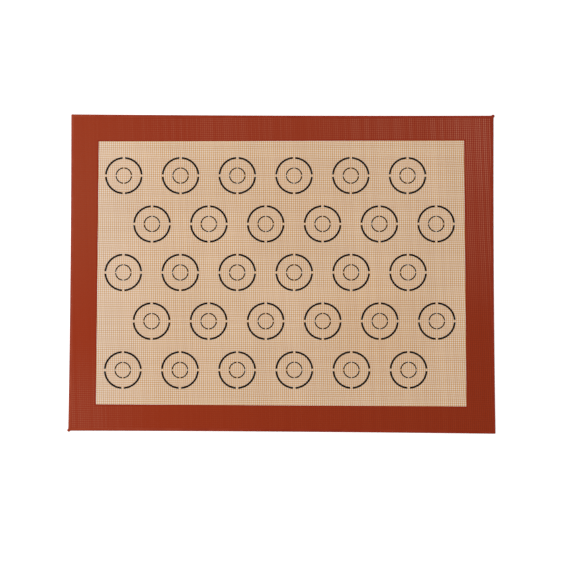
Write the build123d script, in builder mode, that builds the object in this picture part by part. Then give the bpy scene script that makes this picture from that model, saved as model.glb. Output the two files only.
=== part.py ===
from build123d import *
import os
from math import cos, radians, sin

# A silicone baking mat, lying flat.
# The origin is the centre of the underside. +X runs along the long side to the right,
# +Y to the far side and +Z up through the working face. Lengths are in millimetres.

# Outline of the mat, a little out of square as it was cut
mat_length = 400.0
mat_width = 300.0
side_lean = 0.5
far_edge_rise = 0.3
near_edge_drop = 1.5
corner_radius = 0.8
long_edge_draw_in = 0.55
short_edge_draw_in = 0.7

# Layers, from the underside up
coat_thickness = 0.20
cloth_thickness = 0.35
border_rise = 0.05
print_thickness = 0.05

# Bead of silicone that seals the cut edge
bead_width = 2.6
bead_chamfer = 0.35
nub_radius = 1.5
nub_reach = 1.0

# Width of the coloured border, from the corners of the mat to those of its opening
left_border_far = 26.4
left_border_near = 25.75
right_border_far = 28.1
right_border_near = 27.2
far_border_left = 25.8
far_border_right = 24.0
near_border_left = 24.8
near_border_right = 25.5

# Printed targets in staggered rows, spread over the opening of the border inside two margins
target_rows = 5
target_columns = 6
stagger_share = 0.25
margin_at_short_edges = 8.0
margin_at_long_edges = 15.4

# How far the print lies off the centre of the opening, and its slight turn
print_shift_x = -1.33
print_shift_y = 0.05
print_turn_degrees = 0.23

# Rings of a target, each drawn with straight sides that stay within 0.12 mm of its circle
outer_ring_diameter = 35.4
outer_ring_line = 1.7
outer_ring_gap = 2.25
outer_ring_sides = 28
inner_ring_diameter = 15.5
inner_ring_line = 1.0
inner_ring_gap = 1.2
inner_ring_sides = 20

# How far a cutting shape runs past what it cuts
overrun = 2.0

# Heights of the layers
cloth_base = coat_thickness
face_coat_base = cloth_base + cloth_thickness
face_coat_top = face_coat_base + coat_thickness
border_top_height = face_coat_top + border_rise

half_length = mat_length / 2
half_width = mat_width / 2

# Opening of the border: its mean size, and its centre from the centre of the mat
left_border = (left_border_far + left_border_near) / 2
right_border = (right_border_far + right_border_near) / 2
far_border = (far_border_left + far_border_right) / 2
near_border = (near_border_left + near_border_right) / 2
opening_length = mat_length - left_border - right_border
opening_width = mat_width - far_border - near_border
opening_x = (left_border - right_border) / 2
opening_y = (near_border - far_border) / 2

# Steps from target to target, which fill the opening from margin to margin
column_steps = target_columns - 1 + 2 * stagger_share
column_pitch = (opening_length - 2 * margin_at_short_edges - outer_ring_diameter) / column_steps
row_pitch = (opening_width - 2 * margin_at_long_edges - outer_ring_diameter) / (target_rows - 1)

os.makedirs("parts", exist_ok=True)


def finish(piece, name):
    """Labels a finished piece and writes it out under its name."""
    piece.label = name
    export_step(piece, "parts/" + name + ".step")


def mat_corners(inset=0):
    """Near left, near right, far right and far left corner of the mat, moved inwards by inset."""
    x = half_length - inset
    y = half_width - inset
    return (
        Vector(-x + side_lean / 2, -y + near_edge_drop / 2),
        Vector(x + side_lean / 2, -y - near_edge_drop / 2),
        Vector(x - side_lean / 2, y + far_edge_rise / 2),
        Vector(-x - side_lean / 2, y - far_edge_rise / 2),
    )


def mat_face(inset=0):
    """Face inside the mat's outline, moved inwards by inset: its four edges bow slightly in."""
    near_left, near_right, far_right, far_left = mat_corners(inset)
    with BuildSketch() as face:
        with BuildLine():
            SagittaArc(near_left, near_right, long_edge_draw_in)
            SagittaArc(near_right, far_right, short_edge_draw_in)
            SagittaArc(far_right, far_left, long_edge_draw_in)
            SagittaArc(far_left, near_left, short_edge_draw_in)
        make_face()
    return face.sketch


def opening_face():
    """Opening in the coloured border, whose corners lie off those of the mat by its widths."""
    near_left, near_right, far_right, far_left = mat_corners()
    with BuildSketch() as face:
        Polygon(
            near_left + Vector(left_border_near, near_border_left),
            near_right + Vector(-right_border_near, near_border_right),
            far_right + Vector(-right_border_far, -far_border_right),
            far_left + Vector(left_border_far, -far_border_left),
            align=None,
        )
    return face.sketch


sealed_face = mat_face(bead_width)
clear_face = opening_face()

# Woven glass cloth, the core of the mat, out to the bead
with BuildPart() as glass_cloth:
    with BuildSketch(Plane.XY.offset(cloth_base)):
        add(sealed_face)
    extrude(amount=cloth_thickness)
finish(glass_cloth.part, "glass_cloth")


def clear_coat(name, base):
    """Clear silicone coat that fills the opening of the border on one face."""
    with BuildPart() as coat:
        with BuildSketch(Plane.XY.offset(base)):
            add(clear_face)
        extrude(amount=coat_thickness)
    finish(coat.part, name)


clear_coat("bottom_coat", 0)
clear_coat("top_coat", face_coat_base)


def coloured_border(name, base, thickness):
    """Coloured silicone border, a flat frame between the opening and the bead."""
    with BuildPart() as border:
        with BuildSketch(Plane.XY.offset(base)):
            add(sealed_face)
            add(clear_face, mode=Mode.SUBTRACT)
        extrude(amount=thickness)
    finish(border.part, name)


coloured_border("bottom_border", 0, coat_thickness)
coloured_border("top_border", face_coat_base, coat_thickness + border_rise)

# Bead that wraps the cut edge, with a nub at the two opposite corners where it begins and ends
nub_near_left, _, nub_far_right, _ = mat_corners(nub_radius - nub_reach)
with BuildPart() as edge_bead:
    with BuildSketch() as bead_outline:
        add(mat_face())
        with Locations(nub_near_left, nub_far_right):
            Circle(nub_radius)
        fillet(bead_outline.vertices(), corner_radius)
    extrude(amount=border_top_height)
    chamfer(edge_bead.faces().filter_by(Axis.Z).edges(), bead_chamfer)
    with BuildSketch():
        add(sealed_face)
    extrude(amount=border_top_height + overrun, mode=Mode.SUBTRACT)
finish(edge_bead.part, "edge_bead")

# Plane of the print, laid on the clear coat of the working face a little out of square
print_turn = radians(print_turn_degrees)
print_plane = Plane(
    origin=(opening_x + print_shift_x, opening_y + print_shift_y, face_coat_top),
    x_dir=(cos(print_turn), sin(print_turn), 0),
    z_dir=(0, 0, 1),
)


def target_centres(row):
    """Centres of one row of targets, the far row first, in the plane of the print."""
    stagger = -stagger_share if row % 2 == 0 else stagger_share
    y = ((target_rows - 1) / 2 - row) * row_pitch
    return [
        ((column - (target_columns - 1) / 2 + stagger) * column_pitch, y)
        for column in range(target_columns)
    ]


def ring_row(name, row, diameter, line, gap, sides):
    """One row of printed rings, each broken into four arcs by gaps with square ends."""
    with BuildPart() as rings:
        with BuildSketch(print_plane):
            with Locations(*target_centres(row)):
                RegularPolygon(diameter / 2, sides)
                RegularPolygon(diameter / 2 - line, sides, mode=Mode.SUBTRACT)
                Rectangle(diameter + overrun, gap, mode=Mode.SUBTRACT)
                Rectangle(gap, diameter + overrun, mode=Mode.SUBTRACT)
        extrude(amount=print_thickness)
    finish(rings.part, name)


for row in range(target_rows):
    row_name = "rings_row_" + str(row + 1)
    ring_row(
        "outer_" + row_name,
        row,
        outer_ring_diameter,
        outer_ring_line,
        outer_ring_gap,
        outer_ring_sides,
    )
    ring_row(
        "inner_" + row_name,
        row,
        inner_ring_diameter,
        inner_ring_line,
        inner_ring_gap,
        inner_ring_sides,
    )
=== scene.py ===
from math import cos, pi, radians, sin, tan

import bpy
import numpy as np
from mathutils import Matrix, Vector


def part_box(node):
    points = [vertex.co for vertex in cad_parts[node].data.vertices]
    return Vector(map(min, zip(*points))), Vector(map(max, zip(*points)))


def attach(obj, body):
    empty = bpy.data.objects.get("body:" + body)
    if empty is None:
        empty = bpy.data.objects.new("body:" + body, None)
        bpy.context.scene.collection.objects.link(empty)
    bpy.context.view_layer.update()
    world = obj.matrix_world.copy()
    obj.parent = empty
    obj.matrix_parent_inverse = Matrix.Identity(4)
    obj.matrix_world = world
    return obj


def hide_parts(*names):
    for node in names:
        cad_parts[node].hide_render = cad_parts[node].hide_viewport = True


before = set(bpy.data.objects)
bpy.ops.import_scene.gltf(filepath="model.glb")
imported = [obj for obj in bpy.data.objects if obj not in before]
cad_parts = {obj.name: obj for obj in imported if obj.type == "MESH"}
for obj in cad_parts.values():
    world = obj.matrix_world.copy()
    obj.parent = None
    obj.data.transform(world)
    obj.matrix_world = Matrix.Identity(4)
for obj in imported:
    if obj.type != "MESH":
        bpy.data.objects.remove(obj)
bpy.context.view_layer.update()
mm = 0.001

# Camera
# A long lens almost straight above the mat, tilted so that the near edge comes a little closer.
# The lens and the place come from how the print and the corners lie in the photograph.
camera_lens = 146.0
camera_sensor = 36.0
camera_place = (-5.8 * mm, -195.8 * mm, 2156.7 * mm)
camera_turn = (radians(4.918), radians(-0.205), radians(0.196))

camera_data = bpy.data.cameras.new("camera")
camera_data.lens = camera_lens
camera_data.sensor_width = camera_sensor
camera = bpy.data.objects.new("camera", camera_data)
camera.location = camera_place
camera.rotation_euler = camera_turn
bpy.context.scene.collection.objects.link(camera)
bpy.context.scene.camera = camera

# Woven glass cloth
# Glass yarn in plain weave, soaked with silicone, which carries the pull and keeps the mat flat.
# The warp leans a little off the short side, the weft off the long side, and both wander. The mat
# was cut a little out of square, and its edges have drawn in between the corners.
warp_spacing = 1.848 * mm
weft_spacing = 1.760 * mm
warp_threads = 222
weft_threads = 173
warp_lean = tan(radians(2.2))
weft_rise = tan(radians(0.7))
wander = 0.12 * mm
wander_length = 55 * mm
mat_length = 400 * mm
mat_width = 300 * mm
bead_width = 2.6 * mm
side_lean = 0.5 * mm
far_edge_rise = 0.3 * mm
near_edge_drop = 1.5 * mm
long_edge_draw_in = 0.55 * mm
short_edge_draw_in = 0.7 * mm
yarn_rise = 0.09 * mm
yarn_thickness = 0.16 * mm
silicone_ior = 1.41
cloth_length = mat_length - 2 * bead_width
cloth_width = mat_width - 2 * bead_width
cloth_low, cloth_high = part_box("glass_cloth")
cloth_middle = (cloth_low.z + cloth_high.z) / 2
cut_tolerance = 0.001 * mm


def move_points(piece, place):
    """Moves each point of a piece to the place that the function gives for its x, y and z."""
    points = np.empty(3 * len(piece.data.vertices))
    piece.data.vertices.foreach_get("co", points)
    moved = np.column_stack(place(*points.reshape(-1, 3).T))
    piece.data.vertices.foreach_set("co", moved.ravel())
    piece.data.update()


def along_the_threads(x, y, z):
    """A point of the square grid, where the leaning and wandering threads put it."""
    # Two waves of unlike length and slant each way, so that no stretch of the cloth repeats
    turns = 2 * pi / wander_length
    across = wander * (np.sin(turns * x) + np.sin(0.61 * turns * x + 0.7 * turns * y + 1.1))
    along = wander * (np.sin(1.13 * turns * y + 2.0) + np.sin(0.53 * turns * y - 0.8 * turns * x))
    return x - warp_lean * y + across, y + weft_rise * x + along, z


def as_cut(x, y, z):
    """A point of the true rectangle, where the crooked cut and the drawn-in edges put it."""
    x_share, y_share = 2 * x / mat_length, 2 * y / mat_width
    x_pull = short_edge_draw_in * x_share * (1 - y_share**2)
    y_pull = long_edge_draw_in * y_share * (1 - x_share**2)
    rise = (far_edge_rise * (1 + y_share) - near_edge_drop * (1 - y_share)) / 4
    return x - x_pull - y_share * side_lean / 2, y - y_pull + x_share * rise, z


def grid_of_threads(name, height):
    """A flat grid with a corner at every crossing of the threads, larger than the mat."""
    bpy.ops.object.select_all(action="DESELECT")
    bpy.ops.mesh.primitive_grid_add(
        x_subdivisions=warp_threads, y_subdivisions=weft_threads, size=1, location=(0, 0, height)
    )
    sheet = bpy.context.object
    sheet.name = name
    sheet.scale = (warp_threads * warp_spacing, weft_threads * weft_spacing, 1)
    bpy.ops.object.transform_apply()
    sheet.data.uv_layers[0].name = "threads"
    move_points(sheet, along_the_threads)
    return sheet


def cut_to_the_edge():
    """In edit mode, cuts the sheet along the four straight sides of a cloth not yet drawn in."""
    bpy.ops.mesh.select_all(action="SELECT")
    for side in ((1, 0, 0), (-1, 0, 0), (0, 1, 0), (0, -1, 0)):
        place = (side[0] * cloth_length / 2, side[1] * cloth_width / 2, 0)
        bpy.ops.mesh.bisect(
            plane_co=place, plane_no=side, threshold=cut_tolerance, clear_outer=True
        )
        bpy.ops.mesh.select_all(action="SELECT")


glass_cloth = grid_of_threads("woven_glass_cloth", cloth_middle)
crossing_number = np.arange(len(glass_cloth.data.vertices))
along_weft, along_warp = crossing_number % (warp_threads + 1), crossing_number // (warp_threads + 1)
warp_on_top = (along_weft + along_warp) % 2 == 0
move_points(glass_cloth, lambda x, y, z: (x, y, z + np.where(warp_on_top, yarn_rise, -yarn_rise)))
bpy.ops.object.mode_set(mode="EDIT")
cut_to_the_edge()
bpy.ops.object.mode_set(mode="OBJECT")
move_points(glass_cloth, as_cut)
thick = glass_cloth.modifiers.new("thickness", "SOLIDIFY")
thick.thickness = yarn_thickness
thick.offset = 0
bpy.ops.object.modifier_apply(modifier=thick.name)


def paint(hex_text):
    """An sRGB hex colour as the linear colour that a shader takes."""
    shares = [int(hex_text[i:i + 2], 16) / 255 for i in (0, 2, 4)]
    return [s / 12.92 if s <= 0.04045 else ((s + 0.055) / 1.055) ** 2.4 for s in shares] + [1]


def add_node(material, kind, inputs, **choices):
    """Adds a node with its choices. Each input gets a value, or a link from a node or a socket."""
    node = material.node_tree.nodes.new(kind)
    for name, choice in choices.items():
        setattr(node, name, choice)
    sockets = [socket for socket in node.inputs if socket.enabled]
    for name, value in inputs.items():
        if isinstance(name, int):
            socket = sockets[name]
        else:
            socket = next(s for s in sockets if s.name == name)
        if isinstance(value, bpy.types.Node):
            value = next(out for out in value.outputs if out.enabled)
        if isinstance(value, bpy.types.NodeSocket):
            material.node_tree.links.new(value, socket)
        else:
            socket.default_value = value
    return node


def new_finish(name):
    """A material with no nodes yet."""
    finish = bpy.data.materials.new(name)
    finish.use_nodes = True
    finish.node_tree.nodes.clear()
    return finish


def yarns(finish, share, softness):
    """For warp and weft: 0 beside a yarn to 1 on it, and a tone that differs from yarn to yarn."""
    threads = add_node(finish, "ShaderNodeUVMap", {}, uv_map="threads")
    counts = (warp_threads, weft_threads, 1)
    count = add_node(finish, "ShaderNodeVectorMath", {0: threads, 1: counts}, operation="MULTIPLY")
    place = add_node(finish, "ShaderNodeSeparateXYZ", {0: count})
    found = []
    for axis in ("X", "Y"):
        # A yarn runs along each whole number of the count, half a step from the gaps beside it
        along = place.outputs[axis]
        aside = add_node(finish, "ShaderNodeMath", {0: along, 1: 0.5}, operation="PINGPONG")
        edges = {"From Min": share / 2 - softness, "From Max": share / 2 + softness}
        mask = add_node(
            finish,
            "ShaderNodeMapRange",
            {"Value": aside, **edges, "To Min": 1.0, "To Max": 0.0},
            interpolation_type="SMOOTHSTEP",
        )
        number = add_node(finish, "ShaderNodeMath", {0: along}, operation="ROUND")
        tone = add_node(finish, "ShaderNodeTexWhiteNoise", {"W": number}, noise_dimensions="1D")
        found += [mask, tone]
    return found


def layered(finish, colour, *layers, blend="MIX"):
    """A colour under layers that cover it, or tint it where they multiply, each by its share."""
    for share, layer_colour in layers:
        colour = add_node(
            finish,
            "ShaderNodeMix",
            {"Factor": share, "A": colour, "B": layer_colour},
            data_type="RGBA",
            blend_type=blend,
        )
    return colour


# Glass cloth soaked in silicone: satin tan bundles of filament, with pale resin between them.
cloth_finish = new_finish("silicone_soaked_glass_cloth")
warp_mask, warp_tone, weft_mask, weft_tone = yarns(cloth_finish, share=0.7, softness=0.12)
warp_colour = layered(cloth_finish, paint("bd8f60"), (warp_tone, paint("cfa578")))
weft_colour = layered(cloth_finish, paint("b8946a"), (weft_tone, paint("c8a67e")))
cloth_colour = layered(
    cloth_finish, paint("efe2cf"), (warp_mask, warp_colour), (weft_mask, weft_colour)
)
cloth_surface = add_node(
    cloth_finish,
    "ShaderNodeBsdfPrincipled",
    {"Base Color": cloth_colour, "Roughness": 0.55, "IOR": silicone_ior},
)
add_node(cloth_finish, "ShaderNodeOutputMaterial", {"Surface": cloth_surface})
glass_cloth.data.materials.append(cloth_finish)
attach(glass_cloth, "root")
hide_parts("glass_cloth")

# Clear silicone coats
# Silicone knifed over each face of the cloth inside the border, and cured. It sinks a little into
# each opening of the weave, where it is thick and pale, and is a thin film over the tan yarns.
coat_pit = 0.025 * mm
face_share = 0.96
# Width and share of a painted sheen, paler along the left side of the opening
painted_left_sheen_width = 62 * mm
painted_left_sheen_share = 0.1
# Middle and radius of each spot in millimetres, and how browned it is, from 0 to 1
browned_spots = ((85, -48, 88, 1.0), (10, 68, 95, 0.5))
coat_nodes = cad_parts["top_coat"].data.vertices
opening = [
    max((v.co.copy() for v in coat_nodes), key=lambda p: x * p.x + y * p.y + p.z)
    for x, y in ((-1, -1), (1, -1), (1, 1), (-1, 1))
]


def select_inside_opening(sheet):
    """In edit mode, selects the faces whose middle lies inside the opening of the border."""
    bpy.ops.object.mode_set(mode="OBJECT")
    middles = np.empty(3 * len(sheet.data.polygons))
    sheet.data.polygons.foreach_get("center", middles)
    x, y, z = middles.reshape(-1, 3).T
    inside = np.ones(len(x), bool)
    for start, end in zip(opening, opening[1:] + opening[:1]):
        inside &= (end.x - start.x) * (y - start.y) > (end.y - start.y) * (x - start.x)
    sheet.data.polygons.foreach_set("select", inside)
    bpy.ops.object.mode_set(mode="EDIT")


def spread_for_export(layer, faces_up):
    """A map for exported pictures: the face nearly fills it, and back and walls share a strip."""
    points = np.empty(3 * len(layer.data.vertices))
    corners = np.empty(len(layer.data.loops), int)
    normals = np.empty(3 * len(layer.data.polygons))
    face_sizes = np.empty(len(layer.data.polygons), int)
    layer.data.vertices.foreach_get("co", points)
    layer.data.loops.foreach_get("vertex_index", corners)
    layer.data.polygons.foreach_get("normal", normals)
    layer.data.polygons.foreach_get("loop_total", face_sizes)
    flat = points.reshape(-1, 3)[:, :2]
    along, across = ((flat - flat.min(0)) / (flat.max(0) - flat.min(0)))[corners].T
    outwards = normals[2::3] if faces_up else -normals[2::3]
    on_the_face = np.repeat(outwards > 0.5, face_sizes)
    along = np.where(on_the_face, face_share * along, face_share + (1 - face_share) * along)
    spread = layer.data.uv_layers.new(name="OFBake")
    spread.data.foreach_set("uv", np.column_stack((along, across)).ravel())


def silicone_layer(name, node, faces_up, pit, in_opening):
    """Silicone inside the opening or round it, with a pit over each gap between the yarns."""
    low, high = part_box(node)
    face, back = (high.z, low.z) if faces_up else (low.z, high.z)

    # The face, sunk in over each gap between the yarns and cut along the edge of the cloth
    layer = grid_of_threads(name, face)
    bpy.ops.object.mode_set(mode="EDIT")
    bpy.ops.mesh.select_mode(type="FACE")
    bpy.ops.mesh.select_all(action="SELECT")
    if not faces_up:
        bpy.ops.mesh.flip_normals()
    bpy.ops.mesh.poke(offset=-pit)
    cut_to_the_edge()
    bpy.ops.object.mode_set(mode="OBJECT")
    move_points(layer, as_cut)

    # Cut along the opening, of which the outer or the inner part goes
    bpy.ops.object.mode_set(mode="EDIT")
    for start, end in zip(opening, opening[1:] + opening[:1]):
        bpy.ops.mesh.select_all(action="SELECT")
        outwards = (end.y - start.y, start.x - end.x, 0)
        bpy.ops.mesh.bisect(
            plane_co=start, plane_no=outwards, threshold=cut_tolerance, clear_outer=in_opening
        )
    if not in_opening:
        select_inside_opening(layer)
        bpy.ops.mesh.delete(type="FACE")

    # Walls from its rims to a flat back, which is closed
    bpy.ops.mesh.select_mode(type="EDGE")
    bpy.ops.mesh.select_all(action="DESELECT")
    bpy.ops.mesh.select_non_manifold()
    bpy.ops.mesh.extrude_edges_move(TRANSFORM_OT_translate={"value": (0, 0, back - face)})
    bpy.ops.transform.resize(value=(1, 1, 0), center_override=(0, 0, back))
    if in_opening:
        bpy.ops.mesh.edge_face_add()
        bpy.ops.mesh.poke()
    else:
        bpy.ops.mesh.bridge_edge_loops()
    bpy.ops.mesh.select_all(action="SELECT")
    bpy.ops.mesh.normals_make_consistent(inside=False)
    bpy.ops.object.mode_set(mode="OBJECT")
    spread_for_export(layer, faces_up)
    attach(layer, "root")
    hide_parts(node)
    return layer


def patches(finish, size):
    """A soft pattern of patches of about the given size, from 0 to 1, fixed to the piece."""
    place = add_node(finish, "ShaderNodeTexCoord", {}).outputs["Object"]
    noise = add_node(
        finish, "ShaderNodeTexNoise", {"Vector": place, "Scale": 1 / size, "Detail": 3.0}
    )
    # The noise seldom leaves this range
    return add_node(
        finish, "ShaderNodeMapRange", {"Value": noise, "From Min": 0.3, "From Max": 0.7}
    )


def stain_and_painted_light_spots(finish, spots):
    """A browned stain, painted sheen or painted highlight, from 0 to 1, most in a spot's middle."""
    place = add_node(finish, "ShaderNodeTexCoord", {}).outputs["Object"]
    most = 0.0
    for x, y, radius, stain_and_highlight_level in spots:
        middle = (x * mm, y * mm, opening[0].z)
        away = add_node(finish, "ShaderNodeVectorMath", {0: place, 1: middle}, operation="DISTANCE")
        here = add_node(
            finish,
            "ShaderNodeMapRange",
            {"Value": away, "From Max": radius * mm, "To Min": stain_and_highlight_level, "To Max": 0.0},
            interpolation_type="SMOOTHSTEP",
        )
        most = add_node(finish, "ShaderNodeMath", {0: here, 1: most}, operation="MAXIMUM")
    return most


# Clear silicone over glass: satin, tan along the yarns, deeper where they cross and nearly white in
# the openings. The warp is a little more orange than the weft, and no two yarns have the same tone.
# A painted sheen makes it a little paler along the left side, and it is faintly browned in two
# spots.
coat_finish = new_finish("clear_silicone_over_glass_weave")
warp_mask, warp_tone, weft_mask, weft_tone = yarns(coat_finish, share=0.56, softness=0.12)
coat_patches = patches(coat_finish, 60 * mm)
coat_colour = layered(coat_finish, paint("d6d0cb"), (coat_patches, paint("dcd6d2")))
warp_tint = layered(coat_finish, paint("eac494"), (warp_tone, paint("f2d0a2")))
weft_tint = layered(coat_finish, paint("e5c59d"), (weft_tone, paint("edd1ab")))
coat_colour = layered(
    coat_finish, coat_colour, (warp_mask, warp_tint), (weft_mask, weft_tint), blend="MULTIPLY"
)
coat_place = add_node(coat_finish, "ShaderNodeTexCoord", {}).outputs["Object"]
coat_x = add_node(coat_finish, "ShaderNodeSeparateXYZ", {0: coat_place})
# Painted sheen: paler at the left side of the opening, fading out across a band
painted_sheen_at_left = add_node(
    coat_finish,
    "ShaderNodeMapRange",
    {
        "Value": coat_x,
        "From Min": opening[0].x,
        "From Max": opening[0].x + painted_left_sheen_width,
        "To Min": painted_left_sheen_share,
        "To Max": 0.0,
    },
)
coat_colour = layered(coat_finish, coat_colour, (painted_sheen_at_left, paint("dcd6d2")))
browned = stain_and_painted_light_spots(coat_finish, browned_spots)
coat_colour = layered(coat_finish, coat_colour, (browned, paint("fbf7f1")), blend="MULTIPLY")
coat_roughness = add_node(
    coat_finish,
    "ShaderNodeMapRange",
    {"Value": patches(coat_finish, 25 * mm), "To Min": 0.38, "To Max": 0.48},
)
coat_surface = add_node(
    coat_finish,
    "ShaderNodeBsdfPrincipled",
    {
        "Base Color": coat_colour,
        "Roughness": coat_roughness,
        "IOR": silicone_ior,
        "Specular IOR Level": 0.3,
    },
)
add_node(coat_finish, "ShaderNodeOutputMaterial", {"Surface": coat_surface})
for name, node, faces_up in (
    ("clear_coat_over", "top_coat", True),
    ("clear_coat_under", "bottom_coat", False),
):
    coat = silicone_layer(name, node, faces_up, coat_pit, in_opening=True)
    coat.data.materials.append(coat_finish)

# Coloured border
# The same silicone with an iron-red pigment, a frame on each face round the clear opening. It
# hides the yarns, and only the relief of the weave shows in it, as rows of shallow pits.
border_pit = 0.05 * mm
opening_rim = 1.2 * mm
rim_softness = 0.3 * mm
warp_share_at_left = 0.1
warp_share_at_right = 0.68
crossings_share = 0.5
# Spots as above: where painted highlights lie on the weave's relief, and where a pale painted sheen
# lies
painted_highlight_spots = (
    (195, 125, 130, 1.0),
    (120, 142, 160, 0.55),
    (-60, 142, 150, 0.4),
    (195, 50, 110, 0.6),
    (-190, -135, 85, 0.4),
)
# Spots of pale painted sheen, mostly on the left and at the corners
painted_sheen_spots = (
    (-205, 70, 140, 0.65),
    (40, 150, 230, 0.2),
    (195, 140, 90, 0.4),
    (-190, -135, 70, 0.25),
)


def beyond_the_opening(finish):
    """How far a point lies outside the opening of the border, in metres."""
    place = add_node(finish, "ShaderNodeTexCoord", {}).outputs["Object"]
    farthest = -1.0
    for start, end in zip(opening, opening[1:] + opening[:1]):
        outwards = (end - start).cross((0, 0, 1)).normalized()
        along = add_node(
            finish, "ShaderNodeVectorMath", {0: place, 1: outwards}, operation="DOT_PRODUCT"
        )
        beyond = add_node(
            finish, "ShaderNodeMath", {0: along, 1: outwards.dot(start)}, operation="SUBTRACT"
        )
        farthest = add_node(finish, "ShaderNodeMath", {0: beyond, 1: farthest}, operation="MAXIMUM")
    return farthest


# Pigmented silicone: satin brick red, with painted shade that deepens it to the right. The yarns
# under it show as faint pale ridges, mostly the weft on the left and the warp on the right, which
# are pale where the silicone is thin over them and partly a painted highlight of the relief, and
# palest where two yarns cross. In spots, most at the far right corner, painted highlights make the
# ridges paler and the ground between them deeper, and in others, mostly on the left, a pale painted
# sheen lies over it. A deeper line runs along the opening, where it is thick. The weave breaks up
# its sheen, so the specular level is low.
border_finish = new_finish("brick_red_silicone")
warp_mask, warp_tone, weft_mask, _ = yarns(border_finish, share=0.5, softness=0.16)
border_place = add_node(border_finish, "ShaderNodeTexCoord", {}).outputs["Object"]
border_x = add_node(border_finish, "ShaderNodeSeparateXYZ", {0: border_place})
# From 0 at the left end to 1 at the right: how far painted shade deepens the red, and the warp's
# share of the ridges
to_the_right = add_node(
    border_finish,
    "ShaderNodeMapRange",
    {"Value": border_x, "From Min": -mat_length / 2, "From Max": mat_length / 2},
)
warp_share = add_node(
    border_finish,
    "ShaderNodeMapRange",
    {"Value": to_the_right, "To Min": warp_share_at_left, "To Max": warp_share_at_right},
)
ridges = add_node(
    border_finish, "ShaderNodeMix", {"Factor": warp_share, "A": weft_mask, "B": warp_mask}
)
crossed = add_node(
    border_finish, "ShaderNodeMath", {0: warp_mask, 1: weft_mask}, operation="MULTIPLY"
)
# Ridges over the yarns: pale where the silicone is thin over them, and partly a painted highlight
# of the relief
relief = add_node(
    border_finish, "ShaderNodeMix", {"Factor": crossings_share, "A": ridges, "B": crossed}
)
in_rim = add_node(
    border_finish,
    "ShaderNodeMapRange",
    {
        "Value": beyond_the_opening(border_finish),
        "From Min": opening_rim - rim_softness,
        "From Max": opening_rim + rim_softness,
        "To Min": 1.0,
        "To Max": 0.0,
    },
)
# Painted sheen: a pale veil over the red in spots
painted_sheen_level = stain_and_painted_light_spots(border_finish, painted_sheen_spots)
# Painted highlights: the weave's relief glints in spots, most at the far right corner
stain_and_highlight_level = stain_and_painted_light_spots(border_finish, painted_highlight_spots)
deep_colour = layered(
    border_finish,
    paint("8b2a0a"),
    # Painted shade, deeper to the right
    (to_the_right, paint("78240a")),
    (painted_sheen_level, paint("8e3d22")),
    # Deeper between the ridges where the painted highlights lie
    (stain_and_highlight_level, paint("7d1703")),
)
# The ridges where the painted highlights lie, painted pale
painted_highlight_colour = layered(border_finish, paint("9f5037"), (warp_tone, paint("ab6850")))
ridge_and_highlight_colour = layered(
    border_finish, paint("8a2d10"), (warp_tone, paint("8e3215")), (stain_and_highlight_level, painted_highlight_colour)
)
border_colour = layered(
    border_finish, deep_colour, (relief, ridge_and_highlight_colour), (in_rim, paint("832207"))
)
border_roughness = add_node(
    border_finish,
    "ShaderNodeMapRange",
    {"Value": patches(border_finish, 20 * mm), "To Min": 0.3, "To Max": 0.36},
)
border_surface = add_node(
    border_finish,
    "ShaderNodeBsdfPrincipled",
    {
        "Base Color": border_colour,
        "Roughness": border_roughness,
        "IOR": silicone_ior,
        "Specular IOR Level": 0.09,
    },
)
add_node(border_finish, "ShaderNodeOutputMaterial", {"Surface": border_surface})
for name, node, faces_up in (
    ("coloured_border_over", "top_border", True),
    ("coloured_border_under", "bottom_border", False),
):
    border = silicone_layer(name, node, faces_up, border_pit, in_opening=False)
    border.data.materials.append(border_finish)

# Edge bead
# A bead of the red silicone that seals the cut edge and wraps over both faces. It was begun and
# ended at two opposite corners, and a small nub is left at each.
bead_rounding = 0.38 * mm
bead_corner = 0.8 * mm
nub_radius = 1.42 * mm
nub_reach = 0.92 * mm
nub_flare = 0.45 * mm
corner_length = 3.0 * mm
corner_segments = 48
side_cuts = 40
rim_turn_degrees = (22.5, 45, 67.5, 90)
bead_smoothing = radians(40)
bead_low, bead_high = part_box("edge_bead")
bead_height = bead_high.z - bead_low.z


def rounded(x, y, z):
    """A point of the square bead, where its rounded rims, its corners and its nubs put it."""
    depth = np.minimum(z - bead_low.z, bead_high.z - z)
    rim = np.clip(bead_rounding - depth, 0, bead_rounding)
    inset = bead_rounding - np.sqrt(bead_rounding**2 - rim**2)
    rim_x = x * (1 - 2 * inset / mat_length)
    rim_y = y * (1 - 2 * inset / mat_width)
    has_nub = x * y > 0
    from_edge = np.where(has_nub, nub_radius - nub_reach, bead_corner)
    from_x = rim_x - np.sign(x) * (mat_length / 2 - from_edge)
    from_y = rim_y - np.sign(y) * (mat_width / 2 - from_edge)
    distance = np.hypot(from_x, from_y)
    gap = distance - np.where(has_nub, nub_radius, bead_corner) + inset
    past_nub = (np.hypot(gap, nub_flare) - gap) / 2
    past_corner = np.where((from_x * x > 0) & (from_y * y > 0), -gap, 0)
    push = np.where(has_nub, past_nub, past_corner) / distance
    outer = (abs(x) > (mat_length - bead_width) / 2) | (abs(y) > (mat_width - bead_width) / 2)
    return (
        np.where(outer, rim_x + push * from_x, x),
        np.where(outer, rim_y + push * from_y, y),
        z,
    )


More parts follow.
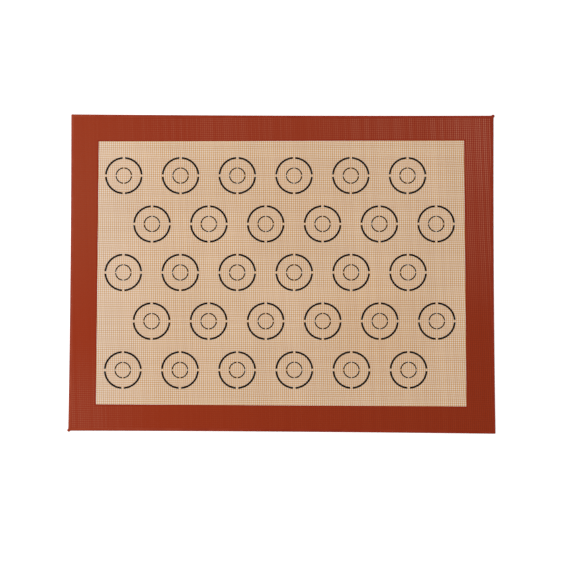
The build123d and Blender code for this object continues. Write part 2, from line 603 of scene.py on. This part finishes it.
# The outline of the mat, with close points at its corners and along its sides
bpy.ops.object.select_all(action="DESELECT")
bpy.ops.mesh.primitive_plane_add(size=1, location=(0, 0, bead_low.z))
bead = bpy.context.object
bead.name = "edge_bead_with_nubs"
bead.scale = (mat_length, mat_width, 1)
bpy.ops.object.transform_apply()
bpy.ops.object.mode_set(mode="EDIT")
bpy.ops.mesh.select_all(action="SELECT")
bpy.ops.mesh.bevel(
    affect="VERTICES", offset=corner_length, segments=corner_segments, profile=1
)
bpy.ops.mesh.select_all(action="SELECT")
bpy.ops.mesh.delete(type="ONLY_FACE")
bpy.ops.mesh.select_mode(type="EDGE")
bpy.ops.mesh.select_all(action="DESELECT")
bpy.ops.object.mode_set(mode="OBJECT")
for edge in bead.data.edges:
    start, end = (bead.data.vertices[i].co for i in edge.vertices)
    edge.select = (end - start).length > mat_width / 2
bpy.ops.object.mode_set(mode="EDIT")
bpy.ops.mesh.subdivide(number_cuts=side_cuts)

# Drawn up through the rims, in over the top to the cloth, down along it, and closed underneath
bpy.ops.mesh.select_all(action="SELECT")
rises = [bead_rounding * (1 - cos(radians(turn))) for turn in rim_turn_degrees]
heights = [0, *rises, *(bead_height - rise for rise in reversed(rises)), bead_height]
for start, end in zip(heights, heights[1:]):
    bpy.ops.mesh.extrude_edges_move(TRANSFORM_OT_translate={"value": (0, 0, end - start)})
bpy.ops.mesh.extrude_edges_move()
bpy.ops.transform.resize(value=(cloth_length / mat_length, cloth_width / mat_width, 1))
bpy.ops.mesh.extrude_edges_move(TRANSFORM_OT_translate={"value": (0, 0, -bead_height)})
bpy.ops.mesh.select_all(action="DESELECT")
bpy.ops.mesh.select_non_manifold()
bpy.ops.mesh.bridge_edge_loops()
bpy.ops.mesh.select_all(action="SELECT")
bpy.ops.mesh.normals_make_consistent(inside=False)
bpy.ops.object.mode_set(mode="OBJECT")
move_points(bead, rounded)
move_points(bead, as_cut)

# Pigmented silicone run on as a paste: a deeper red than the border, smooth and a little glossier.
# Painted shade deepens it from the left end to the middle, and it stays deep on the right half.
bead_finish = new_finish("brick_red_silicone_bead")
bead_place = add_node(bead_finish, "ShaderNodeTexCoord", {}).outputs["Object"]
bead_x = add_node(bead_finish, "ShaderNodeSeparateXYZ", {0: bead_place})
# Painted shade: 0 at the left end, rising to 1 at the middle and staying there
bead_painted_shade = add_node(
    bead_finish,
    "ShaderNodeMapRange",
    {"Value": bead_x, "From Min": -mat_length / 2, "From Max": 0.0},
)
bead_patches = patches(bead_finish, 12 * mm)
bead_painted_lit_colour = layered(bead_finish, paint("8a2f15"), (bead_patches, paint("92391f")))
bead_painted_shaded_colour = layered(bead_finish, paint("80240c"), (bead_patches, paint("8a2c14")))
bead_colour = layered(bead_finish, bead_painted_lit_colour, (bead_painted_shade, bead_painted_shaded_colour))
bead_roughness = add_node(
    bead_finish,
    "ShaderNodeMapRange",
    {"Value": patches(bead_finish, 4 * mm), "To Min": 0.26, "To Max": 0.36},
)
bead_surface = add_node(
    bead_finish,
    "ShaderNodeBsdfPrincipled",
    {
        "Base Color": bead_colour,
        "Roughness": bead_roughness,
        "IOR": silicone_ior,
        "Specular IOR Level": 0.1,
    },
)
add_node(bead_finish, "ShaderNodeOutputMaterial", {"Surface": bead_surface})
bead.data.materials.append(bead_finish)
bead.select_set(True)
bpy.ops.object.shade_smooth_by_angle(angle=bead_smoothing)
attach(bead, "root")
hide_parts("edge_bead")

# Printed targets
# Thirty targets for piped dough, screen printed in black silicone ink on the working face: each
# has an outer ring and a small inner one, broken into four arcs. The print lies a little askew.
target_rows = 5
target_columns = 6
stagger_share = 0.25
margin_at_short_edges = 8.0 * mm
margin_at_long_edges = 15.4 * mm
print_shift_x = -1.33 * mm
print_shift_y = 0.05 * mm
print_turn = radians(0.23)
outer_ring_diameter = 35.4 * mm
outer_ring_line = 1.7 * mm
outer_ring_gap = 2.25 * mm
outer_ring_steps = 14
inner_ring_diameter = 15.5 * mm
inner_ring_line = 1.0 * mm
inner_ring_gap = 1.1 * mm
inner_ring_steps = 9
ink_spread = 0.05 * mm
ink_sink = 0.02 * mm
ink_rounding = 0.03 * mm
ink_rounding_segments = 2
ink_smoothing = radians(50)

near_left, near_right, far_right, far_left = opening
opening_length = (near_right.x - near_left.x + far_right.x - far_left.x) / 2
opening_width = (far_left.y - near_left.y + far_right.y - near_right.y) / 2
opening_x = sum(corner.x for corner in opening) / 4
opening_y = sum(corner.y for corner in opening) / 4
column_steps = target_columns - 1 + 2 * stagger_share
column_pitch = (opening_length - 2 * margin_at_short_edges - outer_ring_diameter) / column_steps
row_pitch = (opening_width - 2 * margin_at_long_edges - outer_ring_diameter) / (target_rows - 1)


def printed_rings(name, diameter, line, gap, steps):
    """A row of rings about the origin: a quarter is spun, cut back at its gaps, and copied."""
    ink_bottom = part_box("top_coat")[1].z - ink_sink
    ink_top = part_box(name)[1].z
    middle = (ink_bottom + ink_top) / 2
    bpy.ops.object.select_all(action="DESELECT")
    bpy.ops.mesh.primitive_plane_add(
        size=1, location=((diameter - line) / 2, 0, middle), rotation=(pi / 2, 0, 0)
    )
    # The section of the ink, with its two upper corners rounded, spun through a quarter turn
    rings = bpy.context.object
    rings.name = "printed_" + name
    rings.scale = (line, ink_top - ink_bottom, 1)
    bpy.ops.object.transform_apply()
    bpy.ops.object.mode_set(mode="EDIT")
    bpy.ops.mesh.select_mode(type="VERT")
    bpy.ops.mesh.select_all(action="DESELECT")
    bpy.ops.object.mode_set(mode="OBJECT")
    for corner in rings.data.vertices:
        corner.select = corner.co.z > middle
    bpy.ops.object.mode_set(mode="EDIT")
    bpy.ops.mesh.bevel(affect="VERTICES", offset=ink_rounding, segments=ink_rounding_segments)
    bpy.ops.mesh.select_all(action="SELECT")
    bpy.ops.mesh.spin(steps=steps, angle=-pi / 2, center=(0, 0, 0), axis=(0, 0, 1))
    # Cut square half a gap from each end
    for place, cut_away in (((gap / 2, 0, 0), (-1, 0, 0)), ((0, gap / 2, 0), (0, -1, 0))):
        bpy.ops.mesh.select_all(action="SELECT")
        bpy.ops.mesh.bisect(
            plane_co=place,
            plane_no=cut_away,
            threshold=cut_tolerance,
            use_fill=True,
            clear_outer=True,
        )
    bpy.ops.mesh.select_all(action="SELECT")
    bpy.ops.mesh.normals_make_consistent(inside=False)
    # One quarter is copied a quarter turn on, and then the two of them half a turn on
    for quarter_turns in (1, 2):
        bpy.ops.mesh.select_all(action="SELECT")
        bpy.ops.mesh.duplicate()
        bpy.ops.transform.rotate(
            value=quarter_turns * pi / 2, orient_axis="Z", center_override=(0, 0, 0)
        )
    bpy.ops.object.mode_set(mode="OBJECT")
    row = rings.modifiers.new("row", "ARRAY")
    row.count = target_columns
    row.use_relative_offset = False
    row.use_constant_offset = True
    row.constant_offset_displace = (column_pitch, 0, 0)
    bpy.ops.object.modifier_apply(modifier=row.name)
    return rings


def lay_in_row(rings, row):
    """Moves a row of rings to its place in the print, and turns it with the print."""
    stagger = -stagger_share if row % 2 == 0 else stagger_share
    along = (stagger - (target_columns - 1) / 2) * column_pitch
    across = ((target_rows - 1) / 2 - row) * row_pitch
    rings.location.x = (
        opening_x + print_shift_x + along * cos(print_turn) - across * sin(print_turn)
    )
    rings.location.y = (
        opening_y + print_shift_y + along * sin(print_turn) + across * cos(print_turn)
    )
    rings.rotation_euler.z = print_turn
    bpy.ops.object.select_all(action="DESELECT")
    rings.select_set(True)
    bpy.context.view_layer.objects.active = rings
    bpy.ops.object.transform_apply()


# Black silicone ink, screen printed: matt, and brown where it lies thin on the weave.
ink_finish = new_finish("black_silicone_ink")
ink_patches = patches(ink_finish, 5 * mm)
ink_colour = layered(ink_finish, paint("080606"), (ink_patches, paint("18110d")))
ink_surface = add_node(
    ink_finish,
    "ShaderNodeBsdfPrincipled",
    {
        "Base Color": ink_colour,
        "Roughness": 0.55,
        "IOR": silicone_ior,
        "Specular IOR Level": 0.1,
    },
)
add_node(ink_finish, "ShaderNodeOutputMaterial", {"Surface": ink_surface})
for kind, diameter, line, gap, steps in (
    ("outer", outer_ring_diameter, outer_ring_line, outer_ring_gap, outer_ring_steps),
    ("inner", inner_ring_diameter, inner_ring_line, inner_ring_gap, inner_ring_steps),
):
    for row in range(target_rows):
        node = kind + "_rings_row_" + str(row + 1)
        rings = printed_rings(node, diameter + 2 * ink_spread, line + 2 * ink_spread, gap, steps)
        lay_in_row(rings, row)
        rings.data.materials.clear()
        rings.data.materials.append(ink_finish)
        bpy.ops.object.shade_smooth_by_angle(angle=ink_smoothing)
        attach(rings, "root")
        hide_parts(node)

# Floor and light
# A white floor and room, a large soft lamp high on the left, and two small soft lamps that the
# satin silicone mirrors faintly at the far right and the near left corner.
floor_size = 6.0
floor_drop = 0.05 * mm
floor_glow_level = 0.3
room_level = 0.577


def seen_level(finish, lighting, seen):
    """One strength for what lights the mat, and another for what is seen, also in a mirror."""
    path = add_node(finish, "ShaderNodeLightPath", {})
    camera_or_gloss = add_node(
        finish,
        "ShaderNodeMath",
        {0: path.outputs["Is Camera Ray"], 1: path.outputs["Is Glossy Ray"]},
        operation="MAXIMUM",
    )
    seen_ray = add_node(
        finish,
        "ShaderNodeMath",
        {0: camera_or_gloss, 1: path.outputs["Is Transmission Ray"]},
        operation="MAXIMUM",
    )
    return add_node(
        finish, "ShaderNodeMapRange", {"Value": seen_ray, "To Min": lighting, "To Max": seen}
    )


bpy.ops.object.select_all(action="DESELECT")
bpy.ops.mesh.primitive_plane_add(size=floor_size, location=(0, 0, -floor_drop))
floor = bpy.context.object
floor.name = "floor"

# White paper sweep: matt, and seen a little brighter than it is lit, so that it shows as white.
floor_finish = new_finish("white_paper_sweep")
floor_surface = add_node(
    floor_finish,
    "ShaderNodeBsdfPrincipled",
    {"Base Color": paint("f4f4f4"), "Roughness": 0.9, "Specular IOR Level": 0.0},
)
floor_glow = add_node(
    floor_finish,
    "ShaderNodeEmission",
    {"Color": paint("ffffff"), "Strength": seen_level(floor_finish, 0.0, floor_glow_level)},
)
floor_sum = add_node(floor_finish, "ShaderNodeAddShader", {0: floor_surface, 1: floor_glow})
add_node(floor_finish, "ShaderNodeOutputMaterial", {"Surface": floor_sum})
floor.data.materials.append(floor_finish)

world = bpy.data.worlds.new("white_room")
world.use_nodes = True
world.node_tree.nodes.clear()
room = add_node(
    world,
    "ShaderNodeBackground",
    {"Color": paint("ffffff"), "Strength": seen_level(world, room_level, 1.0)},
)
add_node(world, "ShaderNodeOutputWorld", {"Surface": room})
bpy.context.scene.world = world

# Name, size in metres, power in watts and place of each lamp, which is turned to the mat
for name, size, power, place in (
    ("left_softbox", 1.2, 25.2, (-1.15, 0.25, 1.55)),
    ("far_right_softbox", 0.3, 2.2, (0.44, 0.50, 2.5)),
    ("near_left_softbox", 0.25, 0.9, (-0.42, -0.05, 2.5)),
):
    lamp_data = bpy.data.lights.new(name, "AREA")
    lamp_data.size = size
    lamp_data.energy = power
    lamp = bpy.data.objects.new(name, lamp_data)
    lamp.location = place
    lamp.rotation_euler = (-lamp.location).to_track_quat("-Z", "Y").to_euler()
    bpy.context.scene.collection.objects.link(lamp)

bpy.context.scene.view_settings.view_transform = "Standard"
